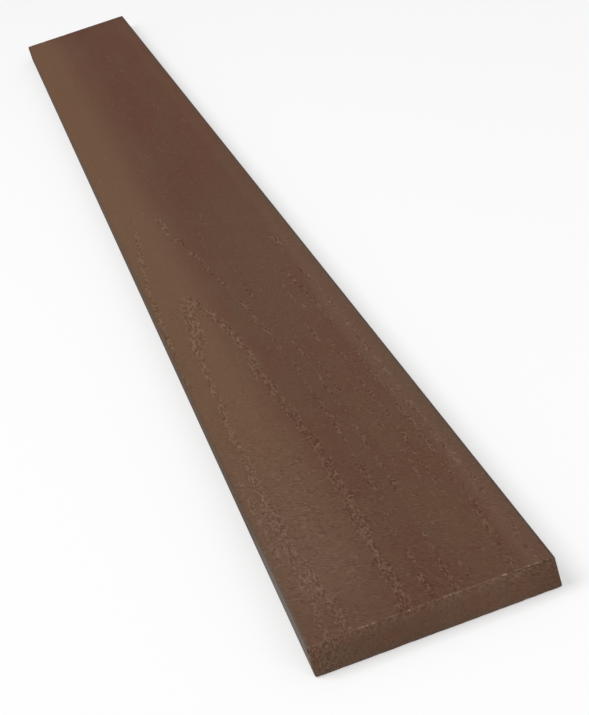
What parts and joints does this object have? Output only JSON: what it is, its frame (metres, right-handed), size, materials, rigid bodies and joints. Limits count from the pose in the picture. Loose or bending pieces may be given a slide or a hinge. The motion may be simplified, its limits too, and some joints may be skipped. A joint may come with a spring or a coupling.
{
  "type": "composite fence board",
  "caption": "Solid wood-plastic fence board with embossed cathedral grain, eased long edges and square-sawn ends, fixed through its face to fence rails.",
  "frame": {"origin": "middle of the board's back face, on the floor that it lies on", "axes": "+X across the width, +Y along the length, +Z out of the show face"},
  "size_m": [0.1396, 1.8288, 0.0191],
  "materials": {
    "composite": "matte"
  },
  "bodies": {
    "root": {"fence_board": "composite"}
  },
  "joints": []
}
